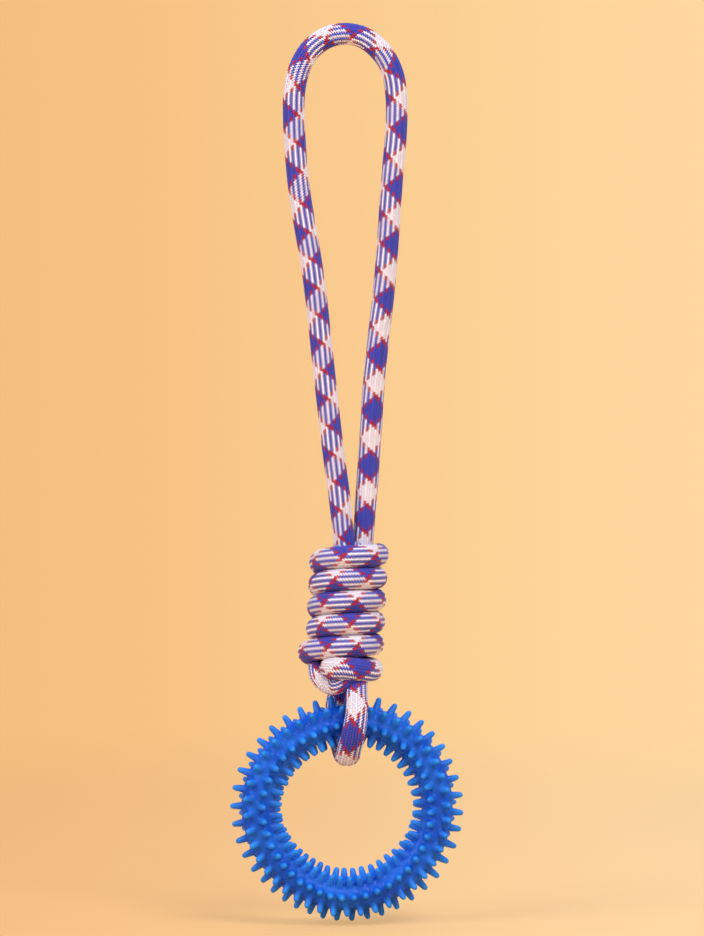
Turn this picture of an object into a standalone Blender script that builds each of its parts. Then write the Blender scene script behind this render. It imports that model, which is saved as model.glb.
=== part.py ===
"""Dog teething toy: a spiked rubber ring hung in one braided cord.

The cord makes a long hand loop, six wraps of a coil knot and a small loop that holds the ring.
Metres, +Z up, +X to the right and -Y towards the viewer. The origin is the inside of the top of
the hand loop, where a hand or a hook holds the toy, so everything hangs below it.
"""

import math

import bmesh
import bpy
import numpy as np
from mathutils import Vector

# Cord: a braided cover round a core of filler yarn
CORD_RADIUS = 0.0050
COVER_WALL = 0.0015
PIECE_GAP = 0.0003
THROAT_RADIUS = 0.0047
COVER_RIM = 0.0005
COVER_SIDES = 10
END_CUT_SHARE = 0.96

# Hand loop, measured along the middle of the cord
HAND_LOOP_DROP = 0.2288
HAND_LOOP_WIDTH = 0.0467
HAND_LOOP_OFFSET = -0.0004
THROAT_DEPTH = 0.0039
THROAT_TAPER = 0.020

# Middle of the hand loop: across as a share of its half width, down as a share of its drop, and
# depth as a share of the throat's depth. It runs up the left leg, over the top and down the right.
HAND_LOOP_ROUTE_SHARES = [
    (-0.029, 1.000, -0.192),
    (-0.109, 0.922, -0.210),
    (-0.216, 0.842, -0.190),
    (-0.401, 0.679, -0.130),
    (-0.615, 0.485, -0.070),
    (-0.916, 0.290, -0.020),
    (-1.000, 0.155, 0.000),
    (-0.994, 0.118, 0.000),
    (-0.872, 0.065, 0.000),
    (-0.625, 0.026, 0.000),
    (-0.298, 0.005, 0.000),
    (0.010, 0.000, 0.000),
    (0.317, 0.006, 0.000),
    (0.685, 0.034, 0.000),
    (0.916, 0.076, 0.000),
    (0.998, 0.128, 0.000),
    (1.000, 0.170, 0.000),
    (0.912, 0.290, 0.060),
    (0.776, 0.485, 0.200),
    (0.572, 0.679, 0.420),
    (0.465, 0.842, 0.690),
    (0.408, 0.922, 0.800),
    (0.352, 1.000, 0.808),
]
HAND_LOOP_RINGS = 44

# Knot: a coil that goes down round the two strands inside it
WRAP_TURNS = 5.25
WRAP_POINTS = 24
WRAP_SIDES = 6
WRAP_CORD_RADIUS = 0.0047
WRAP_HALF_WIDTH = 0.01325
WRAP_HALF_DEPTH = 0.0120
WRAP_PITCH = 0.0101
WRAP_TOP_DROP = 0.0085
WRAP_LEAN = 0.0005
KNOT_OFFSET = 0.0014
WRAP_FRONT_LIFT = 0.0013
WRAP_LEFT_LIFT = 0.0008
TAIL_BEND = 0.0050
TAIL_RADIUS = 0.0041
TAIL_STEPS = 8

# What changes near the foot of the coil. Places along it are counted in turns from its start at
# the right side, so the first pass across the front is a quarter turn in.
FIRST_FRONT_SHARE = 0.25
LAST_TURN_DROP = 0.0022
DROP_FROM_SHARE = 4.25
DROP_OVER_SHARE = 0.75
LEVEL_FROM_SHARE = 5.1
LAST_PASS_BULGE = 0.0010
BULGE_FROM_SHARE = 4.9
BULGE_OVER_SHARE = 0.35
LOBE_BULGE = 0.0032
LOBE_AT_SHARE = 4.5
LOBE_SPREAD_SHARE = 0.12

# Strands of the cord that run down inside the wraps
STRAND_RADIUS = 0.0037
STRAND_WALL = 0.0012
STRAND_SPREAD = 0.0040
STRAND_STAGGER = 0.0012
STRAND_RINGS = 5
STRAND_SIDES = 8
SEAL_THICKNESS = 0.0015
SEAL_SIDES = 12
SEAL_BEVEL = 0.0004

# Tuck: the short bend of cord round the tail of the coil, at the lower left of the knot
TUCK_RADIUS = 0.0037
TUCK_GAP = 0.0004
TUCK_FRONT = 0.0075
TUCK_BACK = 0.0010
TUCK_TOP_DROP = 0.0018
TUCK_SIDES = 6
TUCK_RINGS = 28
TUCK_START_SHARE = 0.55
TUCK_SWELL_SHARE = 0.34

# Round the coil's tail: the tuck's angle, and how far forward it stands as a share
TUCK_BEND_STEPS = ((200.0, 0.68), (220.0, 0.90), (240.0, 1.0), (260.0, 1.0), (276.0, 1.0),
                   (290.0, 0.97))

# Last places of the tuck, from the middle of the coil's tail: across and up as shares of the
# tuck's bend, and forward as a share of how far forward the tuck stands
TUCK_FOOT_SHARES = ((0.68, 0.83, -0.74), (1.02, 0.61, -0.50))

# Ring loop: the bight of cord that the ring hangs in, a little flattened by its load
LOOP_HALF_WIDE = 0.0053
LOOP_HALF_THICK = 0.0042
LOOP_ROOT_HALF_SPAN = 0.0125
LOOP_ROOT_SIDESTEP = 0.0046
LOOP_SIDESTEP = 0.0042
LOOP_CLEARANCE = 0.0007
LOOP_SLACK = 0.0010
LOOP_ARC_STEPS = 12
LOOP_RINGS = 30

# How far the ring loop stands to the side, as shares of its side step. The places go round the
# ring's tube from a step before its front to a step past its back.
LOOP_SIDE_SHARES = (1.02, 0.88, 0.69, 0.48, 0.26, 0.12, 0.02, -0.07, -0.19, -0.38, -0.62, -0.86,
                    -1.05, -1.17, -1.21)

# Teething ring: a round tube set with rows of tapered spikes
RING_RADIUS = 0.0400
RING_TUBE_RADIUS = 0.0070
SPIKE_LENGTH = 0.0052
SPIKE_ROWS = 7
SPIKES_PER_ROW = 44
SPIKE_MIDDLE_SHARE = 0.62
SPIKE_MIDDLE_WIDTH_SHARE = 0.88
SPIKE_TIP_WIDTH_SHARE = 0.64
ROW_ROLL = math.radians(-10.7)
ROW_WARP = math.radians(7.3)
RING_YAW = math.radians(7.0)
RING_OFFSET = 0.0006
RING_TUCK_GAP = 0.0004

SMOOTH_ANGLE = math.radians(50.0)
CURVE_SAMPLES = 24
END_RING_SHARES = (0.30, 0.60, 0.85)

CORD_WHITE = (0.86, 0.80, 0.78, 1.0)
CORD_BLUE = (0.08, 0.09, 0.42, 1.0)
CORD_RED = (0.58, 0.03, 0.05, 1.0)
CORE_GREY = (0.72, 0.71, 0.68, 1.0)
RING_BLUE = (0.01, 0.11, 0.62, 1.0)


def make_material(name, colour, roughness):
    """A plain material with one colour and one roughness."""
    material = bpy.data.materials.new(name)
    material.use_nodes = True
    shader = material.node_tree.nodes["Principled BSDF"]
    shader.inputs["Base Color"].default_value = colour
    shader.inputs["Roughness"].default_value = roughness
    shader.inputs["Metallic"].default_value = 0.0
    return material


def add_object(name, mesh_data, material, parent=None, place=(0.0, 0.0, 0.0)):
    """Turn a bmesh in world coordinates into an object whose origin is at place."""
    bmesh.ops.recalc_face_normals(mesh_data, faces=mesh_data.faces)
    bmesh.ops.translate(mesh_data, verts=mesh_data.verts, vec=-Vector(place))
    mesh = bpy.data.meshes.new(name)
    mesh_data.to_mesh(mesh)
    mesh_data.free()
    mesh.shade_smooth()
    mesh.set_sharp_from_angle(angle=SMOOTH_ANGLE)
    mesh.materials.append(material)
    piece = bpy.data.objects.new(name, mesh)
    bpy.context.collection.objects.link(piece)
    piece.parent = parent
    piece.location = Vector(place) - world_place(parent)
    return piece


def add_pivot(name, place, parent=None):
    """An empty on a joint's axis, which carries the pieces that move there."""
    pivot = bpy.data.objects.new(name, None)
    bpy.context.collection.objects.link(pivot)
    pivot.parent = parent
    pivot.location = Vector(place) - world_place(parent)
    return pivot


def world_place(pivot):
    """Where a pivot stands in the world: its own location added to those of its parents."""
    place = Vector()
    while pivot is not None:
        place += pivot.location
        pivot = pivot.parent
    return place


def unit(vector):
    """The vector at length one."""
    return vector / np.linalg.norm(vector)


def smoothstep(value):
    """Rise from 0 to 1 with level ends."""
    value = min(max(value, 0.0), 1.0)
    return value * value * (3.0 - 2.0 * value)


def smooth_route(points, count):
    """Points at equal steps along a smooth curve through the given points.

    Between two points the curve is a cubic whose slope at each point follows its two
    neighbours, weighted by how far away they are.
    """
    points = np.asarray(points, dtype=float)
    steps = np.linalg.norm(np.diff(points, axis=0), axis=1)
    slopes = np.empty_like(points)
    slopes[0] = (points[1] - points[0]) / steps[0]
    slopes[-1] = (points[-1] - points[-2]) / steps[-1]
    before = (points[1:-1] - points[:-2]) / steps[:-1, None]
    after = (points[2:] - points[1:-1]) / steps[1:, None]
    weight = (steps[:-1] / (steps[:-1] + steps[1:]))[:, None]
    slopes[1:-1] = before * (1.0 - weight) + after * weight
    fine = []
    for index, step in enumerate(steps):
        for part in np.arange(CURVE_SAMPLES) / CURVE_SAMPLES:
            rise = part * part * (3.0 - 2.0 * part)
            start_pull = part * (1.0 - part) ** 2 * step
            end_pull = part * part * (part - 1.0) * step
            place = points[index] * (1.0 - rise) + points[index + 1] * rise
            fine.append(place + slopes[index] * start_pull + slopes[index + 1] * end_pull)
    fine.append(points[-1])
    fine = np.array(fine)
    travel = np.concatenate(([0.0], np.cumsum(np.linalg.norm(np.diff(fine, axis=0), axis=1))))
    wanted = np.linspace(0.0, travel[-1], count)
    return np.stack([np.interp(wanted, travel, fine[:, axis]) for axis in range(3)], axis=1)


def route_length(points):
    """Length along a run of points."""
    return float(np.linalg.norm(np.diff(points, axis=0), axis=1).sum())


def carry_frames(points, side):
    """Heading, side and lift at each point, with the side carried along without twist."""
    headings = np.gradient(points, axis=0)
    headings = headings / np.linalg.norm(headings, axis=1)[:, None]
    frames = []
    for heading in headings:
        side = unit(side - heading * np.dot(side, heading))
        frames.append((heading, side, np.cross(heading, side)))
    return frames


def section(place, frame, wide, thick):
    """One cross-section of a cord: where it is, its two directions and its two half sizes."""
    return (np.asarray(place), frame[1], frame[2], wide, thick)


def rounded_end(place, frame, outward, wide, thick, last_share):
    """Cross-sections that close a cord on an ellipsoid centred at place.

    Each one is moved outward by a share of the half width and drawn in so that it stays on the
    ellipsoid. The last share says how far out they go.
    """
    sections = []
    for share in END_RING_SHARES + (1.0,):
        out = share * last_share
        draw_in = math.sqrt(1.0 - out * out)
        moved = np.asarray(place) + frame[0] * outward * wide * out
        sections.append(section(moved, frame, wide * draw_in, thick * draw_in))
    return sections


def add_loops(mesh_data, sections, sides):
    """Add one ring of corners for each cross-section."""
    rings = []
    for place, side, lift, wide, thick in sections:
        ring = []
        for step in range(sides):
            turn = math.tau * step / sides
            corner = place + side * wide * math.cos(turn) + lift * thick * math.sin(turn)
            ring.append(mesh_data.verts.new(corner))
        rings.append(ring)
    return rings


def join_rings(mesh_data, first, second):
    """Faces between two rings with the same number of corners."""
    count = len(first)
    for step in range(count):
        after = (step + 1) % count
        mesh_data.faces.new((first[step], first[after], second[after], second[step]))


def solid_cord(sections, sides):
    """A cord with closed ends, through its cross-sections."""
    mesh_data = bmesh.new()
    rings = add_loops(mesh_data, sections, sides)
    for first, second in zip(rings, rings[1:]):
        join_rings(mesh_data, first, second)
    mesh_data.faces.new(rings[0])
    mesh_data.faces.new(rings[-1])
    return mesh_data


def hollow_cord(sections, bores, sides):
    """A cover with an open bore: outer and inner cross-sections in pairs."""
    mesh_data = bmesh.new()
    outer = add_loops(mesh_data, sections, sides)
    inner = add_loops(mesh_data, bores, sides)
    for first, second in zip(outer, outer[1:]):
        join_rings(mesh_data, first, second)
    for first, second in zip(inner, inner[1:]):
        join_rings(mesh_data, first, second)
    join_rings(mesh_data, outer[0], inner[0])
    join_rings(mesh_data, outer[-1], inner[-1])
    return mesh_data


def free_cord(points, side, half_sizes, wall):
    """Cover and core of a cord whose two ends are balls centred on its first and last points.

    half_sizes gives the half width and half thickness at each point. The cover ends in a thin
    rim where the ball meets its bore, and the core carries the ball on to its tip.
    """
    frames = carry_frames(points, side)
    core_play = wall + PIECE_GAP
    cover = []
    bores = []
    core = []
    for place, frame, (wide, thick) in zip(points, frames, half_sizes):
        cover.append(section(place, frame, wide, thick))
        bores.append(section(place, frame, wide - wall, thick - wall))
        core.append(section(place, frame, wide - core_play, thick - core_play))
    for end, outward in ((0, -1.0), (-1, 1.0)):
        wide, thick = half_sizes[end]
        place, frame = points[end], frames[end]
        rim_out = math.sqrt(1.0 - ((thick - wall + COVER_RIM) / thick) ** 2)
        core_in = (thick - core_play) / thick
        core_out = math.sqrt(1.0 - core_in * core_in)
        cover_end = rounded_end(place, frame, outward, wide, thick, rim_out)
        bore_end = [section(item[0], frame, wide - wall, thick - wall) for item in cover_end]
        core_end = []
        for out in (core_out, 0.5 * (core_out + END_CUT_SHARE), END_CUT_SHARE):
            draw_in = min(math.sqrt(1.0 - out * out), core_in)
            moved = place + frame[0] * outward * wide * out
            core_end.append(section(moved, frame, (wide - core_play) * draw_in / core_in,
                                    (thick - core_play) * draw_in / core_in))
        if outward < 0.0:
            cover = cover_end[::-1] + cover
            bores = bore_end[::-1] + bores
            core = core_end[::-1] + core
        else:
            cover += cover_end
            bores += bore_end
            core += core_end
    return hollow_cord(cover, bores, COVER_SIDES), solid_cord(core, COVER_SIDES)


# Heights and places that follow from the sizes
HAND_LOOP_TOP = CORD_RADIUS
THROAT_Z = HAND_LOOP_TOP - HAND_LOOP_DROP
HALF_LOOP_WIDTH = HAND_LOOP_WIDTH / 2.0
WRAP_TOP_Z = THROAT_Z - WRAP_TOP_DROP
STRAND_TOP_Z = THROAT_Z - THROAT_RADIUS - PIECE_GAP


def hand_loop_point(across, down, depth):
    """A point of the hand loop's middle line from its shares."""
    x = HAND_LOOP_OFFSET + across * HALF_LOOP_WIDTH
    y = depth * THROAT_DEPTH
    z = HAND_LOOP_TOP - down * HAND_LOOP_DROP
    return (x, y, z)


def wrap_centre(turn):
    """Sideways middle of the coil, which leans a little to the left on its way down."""
    return KNOT_OFFSET - WRAP_LEAN * turn


def wrap_point(turn):
    """A point of the coil's middle line, a turn at a time from its right side down.

    An elliptical helix, tilted so that each turn is highest at the front and lowest at the
    back. It is wider at its left end near the bottom, and its last pass across the front lies
    level and a little proud of the others.
    """
    angle = math.tau * turn
    drop = smoothstep((turn - DROP_FROM_SHARE) / DROP_OVER_SHARE)
    bulge = smoothstep((turn - BULGE_FROM_SHARE) / BULGE_OVER_SHARE)
    off_lobe = (turn - LOBE_AT_SHARE) / LOBE_SPREAD_SHARE
    half_width = WRAP_HALF_WIDTH + LOBE_BULGE * math.exp(-off_lobe * off_lobe)
    half_depth = WRAP_HALF_DEPTH + LAST_PASS_BULGE * bulge
    z = WRAP_TOP_Z - WRAP_PITCH * (min(turn, LEVEL_FROM_SHARE) - FIRST_FRONT_SHARE)
    z -= LAST_TURN_DROP * drop + WRAP_LEFT_LIFT * math.cos(angle)
    z -= WRAP_FRONT_LIFT * (1.0 - math.sin(angle))
    return (wrap_centre(turn) + half_width * math.cos(angle), -half_depth * math.sin(angle), z)


def wrap_route():
    """Middle line of the whole coil, its two straight ends and its radius at each point."""
    turns = np.arange(0, round(WRAP_TURNS * WRAP_POINTS) + 1) / WRAP_POINTS
    helix = [np.array(wrap_point(turn)) for turn in turns]
    run = 2.0 * WRAP_CORD_RADIUS
    nudge = 1.0 / (WRAP_POINTS * CURVE_SAMPLES)
    heading = unit(np.array(wrap_point(nudge)) - np.array(wrap_point(-nudge)))
    start = helix[0] - heading * run
    points = [start] + helix
    radii = [WRAP_CORD_RADIUS] * len(points)
    bend_start = helix[-1]
    for step in range(1, TAIL_STEPS + 1):
        part = step / TAIL_STEPS
        angle = 0.5 * math.pi * part
        shift = np.array((-math.sin(angle), 1.0 - math.cos(angle), 0.0)) * TAIL_BEND
        points.append(bend_start + shift)
        radii.append(WRAP_CORD_RADIUS + (TAIL_RADIUS - WRAP_CORD_RADIUS) * part)
    points.append(points[-1] + np.array((0.0, run, 0.0)))
    radii.append(TAIL_RADIUS)
    return np.array(points), radii


def least_gap(points, radii):
    """Least gap of a wound cord to itself, away from its own neighbourhood along the cord."""
    radii = np.asarray(radii)
    travel = np.concatenate(([0.0], np.cumsum(np.linalg.norm(np.diff(points, axis=0), axis=1))))
    fine_travel = np.linspace(0.0, travel[-1], len(points) * CURVE_SAMPLES)
    fine = np.stack([np.interp(fine_travel, travel, points[:, axis]) for axis in range(3)], axis=1)
    fine_radii = np.interp(fine_travel, travel, radii)
    least = math.inf
    reach = 6.0 * float(radii.max())
    for index in range(0, len(fine), CURVE_SAMPLES // 2):
        away = fine_travel - fine_travel[index] > reach
        if not away.any():
            break
        distance = np.linalg.norm(fine[away] - fine[index], axis=1)
        least = min(least, float((distance - fine_radii[away] - fine_radii[index]).min()))
    return least


def tube_sections(points, radii, side):
    """Round cross-sections along a run of points."""
    frames = carry_frames(points, side)
    return [section(place, frame, radius, radius)
            for place, frame, radius in zip(points, frames, radii)]


def build_hand_loop(materials):
    """The long loop for the hand, with a ball at the foot of each leg on the throat's axis."""
    route = [hand_loop_point(*shares) for shares in HAND_LOOP_ROUTE_SHARES]
    points = smooth_route(route, HAND_LOOP_RINGS)
    travel = np.concatenate(([0.0], np.cumsum(np.linalg.norm(np.diff(points, axis=0), axis=1))))
    to_end = np.minimum(travel, travel[-1] - travel)
    half_sizes = []
    for distance in to_end:
        radius = THROAT_RADIUS + (CORD_RADIUS - THROAT_RADIUS) * smoothstep(distance / THROAT_TAPER)
        half_sizes.append((radius, radius))
    cover, core = free_cord(points, np.array((0.0, 1.0, 0.0)), half_sizes, COVER_WALL)
    add_object("hand_loop_cover", cover, materials["white"])
    add_object("hand_loop_core", core, materials["core"])
    print("hand loop length mm", round(1000 * route_length(points), 1))
    print("throat ends mm", np.round(1000 * points[0], 2), np.round(1000 * points[-1], 2))
    return points[0], points[-1]


def build_wraps(materials, parent):
    """The coil of the knot as one unbroken cord."""
    points, radii = wrap_route()
    cord = solid_cord(tube_sections(points, radii, np.array((0.0, 0.0, 1.0))), WRAP_SIDES)
    add_object("knot_wraps", cord, materials["blue"], parent, world_place(parent))
    print("wraps length mm", round(1000 * route_length(points), 1))
    print("wraps least gap to itself mm", round(1000 * least_gap(points, radii), 2))
    return points


def strand_point(side_sign, z):
    """Middle of an inner strand at a height, following the lean of the coil."""
    turn = (WRAP_TOP_Z - z) / WRAP_PITCH
    return (wrap_centre(turn) + side_sign * STRAND_SPREAD, side_sign * STRAND_STAGGER, z)


def build_strands(materials, parent, tail_z):
    """The two legs of the cord inside the wraps, and the melted end of the right one."""
    bottom = tail_z + TAIL_RADIUS + 3.0 * PIECE_GAP
    seal_top = bottom + SEAL_THICKNESS
    for name, side_sign, foot in (("left_strand", -1.0, bottom),
                                  ("right_strand", 1.0, seal_top + PIECE_GAP)):
        heights = np.linspace(STRAND_TOP_Z, foot, STRAND_RINGS)
        points = np.array([strand_point(side_sign, z) for z in heights])
        frame = (np.array((0.0, 0.0, -1.0)), np.array((1.0, 0.0, 0.0)), np.array((0.0, 1.0, 0.0)))
        bore = STRAND_RADIUS - STRAND_WALL
        cover = hollow_cord([section(place, frame, STRAND_RADIUS, STRAND_RADIUS) for place in points],
                            [section(place, frame, bore, bore) for place in points], STRAND_SIDES)
        inner = bore - PIECE_GAP
        core = solid_cord([section(place, frame, inner, inner) for place in points], STRAND_SIDES)
        add_object(name + "_cover", cover, materials["white"], parent, world_place(parent))
        add_object(name + "_core", core, materials["core"], parent, world_place(parent))
    centre = strand_point(1.0, seal_top)
    place = (centre[0], centre[1], bottom + SEAL_THICKNESS / 2.0)
    add_seal("sealed_end_lower", place, (0.0, 0.0, 1.0), STRAND_RADIUS, materials["red"], parent)


def add_seal(name, place, axis, radius, material, parent):
    """The melted plug that closes a cut end of the cord: a thin disc with a soft rim."""
    mesh_data = bmesh.new()
    bmesh.ops.create_cone(mesh_data, cap_ends=True, segments=SEAL_SIDES, radius1=radius,
                          radius2=radius, depth=SEAL_THICKNESS)
    turn = Vector((0.0, 0.0, 1.0)).rotation_difference(Vector(axis))
    bmesh.ops.rotate(mesh_data, verts=mesh_data.verts, cent=Vector(), matrix=turn.to_matrix())
    bmesh.ops.translate(mesh_data, verts=mesh_data.verts, vec=place)
    disc = add_object(name, mesh_data, material, parent, place)
    rim = disc.modifiers.new("soft rim", "BEVEL")
    rim.width = SEAL_BEVEL
    rim.segments = 1
    rim.limit_method = "ANGLE"
    rim.angle_limit = SMOOTH_ANGLE


def build_tuck(materials, parent, tail_x, tail_z):
    """The short bend of cord that comes from inside the knot and goes under the coil's tail."""
    bend = TAIL_RADIUS + TUCK_RADIUS + TUCK_GAP
    route = [
        (tail_x - bend, TUCK_BACK, tail_z - TUCK_TOP_DROP),
        (tail_x - bend, TUCK_BACK - TUCK_RADIUS, tail_z - TUCK_TOP_DROP),
        (tail_x - bend, -TUCK_FRONT / 2.0, tail_z - TUCK_TOP_DROP),
    ]
    for degrees, forward in TUCK_BEND_STEPS:
        angle = math.radians(degrees)
        route.append((tail_x + bend * math.cos(angle), -TUCK_FRONT * forward,
                      tail_z + bend * math.sin(angle)))
    for across, forward, up in TUCK_FOOT_SHARES:
        route.append((tail_x + bend * across, -TUCK_FRONT * forward, tail_z + bend * up))
    points = smooth_route(route, TUCK_RINGS)
    swell = [smoothstep(place / TUCK_RINGS / TUCK_SWELL_SHARE) for place in range(len(points))]
    radii = [TUCK_RADIUS * (TUCK_START_SHARE + (1.0 - TUCK_START_SHARE) * share)
             for share in swell]
    cord = solid_cord(tube_sections(points, radii, np.array((0.0, 0.0, 1.0))), TUCK_SIDES)
    add_object("knot_tuck", cord, materials["white"], parent, world_place(parent))
    print("tuck length mm", round(1000 * route_length(points), 1))
    return points


def ring_loop_places(wrap_points, tuck_points):
    """Heights of the ring loop's roots and of the ring's tube at its top."""
    tip_radius = RING_TUBE_RADIUS + SPIKE_LENGTH
    wrap_bottom = float(wrap_points[:, 2][-3 - TAIL_STEPS]) - WRAP_CORD_RADIUS
    root_z = wrap_bottom - PIECE_GAP - END_CUT_SHARE * LOOP_HALF_WIDE
    bend = tip_radius + LOOP_HALF_THICK + LOOP_CLEARANCE
    below_root = LOOP_SLACK + math.sqrt(bend * bend - LOOP_ROOT_HALF_SPAN * LOOP_ROOT_HALF_SPAN)
    reach = tip_radius + TUCK_RADIUS + RING_TUCK_GAP
    lowest = tuck_points[np.argmin(tuck_points[:, 2])]
    below_tuck = math.sqrt(reach * reach - lowest[1] * lowest[1])
    tube_z = min(root_z - below_root, float(lowest[2]) - below_tuck)
    return root_z, tube_z, bend


def build_ring_loop(materials, parent, root_z, tube_z, bend):
    """The bight that holds the ring: down from the front root, under the tube and up behind."""
    route = [(RING_OFFSET + LOOP_ROOT_SIDESTEP, -LOOP_ROOT_HALF_SPAN, root_z)]
    for step, side_share in enumerate(LOOP_SIDE_SHARES, start=-1):
        angle = math.pi * step / LOOP_ARC_STEPS
        route.append((RING_OFFSET + LOOP_SIDESTEP * side_share, -bend * math.cos(angle),
                      tube_z - bend * math.sin(angle)))
    route.append((RING_OFFSET - LOOP_ROOT_SIDESTEP, LOOP_ROOT_HALF_SPAN, root_z))
    points = smooth_route(route, LOOP_RINGS)
    half_sizes = [(LOOP_HALF_WIDE, LOOP_HALF_THICK)] * len(points)
    cover, core = free_cord(points, np.array((1.0, 0.0, 0.0)), half_sizes, COVER_WALL)
    add_object("ring_loop_cover", cover, materials["white"], parent, world_place(parent))
    add_object("ring_loop_core", core, materials["core"], parent, world_place(parent))
    print("ring loop length mm", round(1000 * route_length(points), 1))


def ring_corner(column, row, columns, rows):
    """A corner of the ring's tube, counted round the ring and round its tube.

    The rows lie a little towards the inside of the ring, more so at its sides than at its top
    and bottom, because the soft ring is slightly warped.
    """
    around = math.tau * (column - 0.5) / columns
    roll = ROW_ROLL + ROW_WARP * math.cos(2.0 * around)
    about = math.tau * (row - 0.5) / rows + roll
    reach = RING_RADIUS + RING_TUBE_RADIUS * math.sin(about)
    front = RING_TUBE_RADIUS * math.cos(about)
    return Vector((reach * math.sin(around), -front, reach * math.cos(around)))


def build_ring(materials, parent, centre):
    """The rubber ring: a grid of faces on a round tube, every other one drawn out to a spike.

    Spikes of one row stand half a pitch beside those of the next, but for the two rows at the
    back, which stand side by side because the number of rows is odd.
    """
    columns = 2 * SPIKES_PER_ROW
    rows = 2 * SPIKE_ROWS
    mesh_data = bmesh.new()
    corners = [[mesh_data.verts.new(ring_corner(column, row, columns, rows))
                for row in range(rows)] for column in range(columns)]
    faces = []
    for column in range(columns):
        right = (column + 1) % columns
        for row in range(rows):
            above = (row + 1) % rows
            face = mesh_data.faces.new((corners[column][row], corners[column][above],
                                        corners[right][above], corners[right][row]))
            from_front = min(row, rows - row)
            if row % 2 == 0 and (column + from_front // 2) % 2 == 1:
                faces.append(face)
    tip_narrowing = SPIKE_TIP_WIDTH_SHARE / SPIKE_MIDDLE_WIDTH_SHARE
    for length_share, narrowing in ((SPIKE_MIDDLE_SHARE, SPIKE_MIDDLE_WIDTH_SHARE),
                                    (1.0, tip_narrowing)):
        faces = bmesh.ops.extrude_discrete_faces(mesh_data, faces=faces)["faces"]
        for face in faces:
            middle = face.calc_center_median()
            root = Vector((middle.x, 0.0, middle.z)).normalized() * RING_RADIUS
            outward = (middle - root).normalized()
            end = root + outward * (RING_TUBE_RADIUS + SPIKE_LENGTH * length_share)
            for vertex in face.verts:
                vertex.co = end + (vertex.co - middle) * narrowing
    turn = np.array(((math.cos(RING_YAW), -math.sin(RING_YAW)),
                     (math.sin(RING_YAW), math.cos(RING_YAW))))
    for vertex in mesh_data.verts:
        x, y = turn @ np.array((vertex.co.x, vertex.co.y))
        vertex.co = Vector((x, y, vertex.co.z)) + Vector(centre)
    add_object("teething_ring", mesh_data, materials["ring"], parent, centre)


def build_toy():
    """Build every piece from the hand loop down to the ring."""
    for piece in list(bpy.data.objects):
        bpy.data.objects.remove(piece)
    materials = {
        "white": make_material("braided cord white", CORD_WHITE, 0.8),
        "blue": make_material("braided cord blue", CORD_BLUE, 0.8),
        "red": make_material("melted cord end", CORD_RED, 0.5),
        "core": make_material("filler yarn", CORE_GREY, 0.9),
        "ring": make_material("blue rubber", RING_BLUE, 0.35),
    }
    left_foot, right_foot = build_hand_loop(materials)
    throat = 0.5 * (left_foot + right_foot)
    knot = add_pivot("knot_pivot", throat)
    wrap_points = build_wraps(materials, knot)
    tail_x, _, tail_z = wrap_points[-1]
    build_strands(materials, knot, tail_z)
    outward = unit(wrap_points[0] - wrap_points[1])
    seal_place = wrap_points[0] + outward * (PIECE_GAP + SEAL_THICKNESS / 2.0)
    add_seal("sealed_end_upper", tuple(seal_place), outward, TAIL_RADIUS, materials["red"], knot)
    tuck_points = build_tuck(materials, knot, tail_x, tail_z)
    root_z, tube_z, bend = ring_loop_places(wrap_points, tuck_points)
    loop_pivot = add_pivot("ring_loop_pivot", (RING_OFFSET, 0.0, root_z), knot)
    build_ring_loop(materials, loop_pivot, root_z, tube_z, bend)
    ring_centre = (RING_OFFSET, 0.0, tube_z - RING_RADIUS)
    build_ring(materials, loop_pivot, ring_centre)
    print("throat pivot mm", np.round(1000 * throat, 3), "axis", unit(right_foot - left_foot))
    print("ring loop pivot mm", round(1000 * RING_OFFSET, 3), 0.0, round(1000 * root_z, 3))
    print("ring loop axis", unit(np.array((-LOOP_ROOT_SIDESTEP, LOOP_ROOT_HALF_SPAN, 0.0))))
    print("ring centre mm", np.round(1000 * np.array(ring_centre), 3))
    print("ring axis", math.sin(RING_YAW), -math.cos(RING_YAW), 0.0)


build_toy()
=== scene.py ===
"""Dog teething toy: the looks of a spiked rubber ring hung in one braided cord.

Metres, +Z up, +X to the right and -Y towards the viewer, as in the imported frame. Every new piece
is a surface worked out with numpy: a braided cord is a grid that follows the braid's own columns,
and the ring is a grid whose cells are drawn out to spikes.
"""

import math

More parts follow.
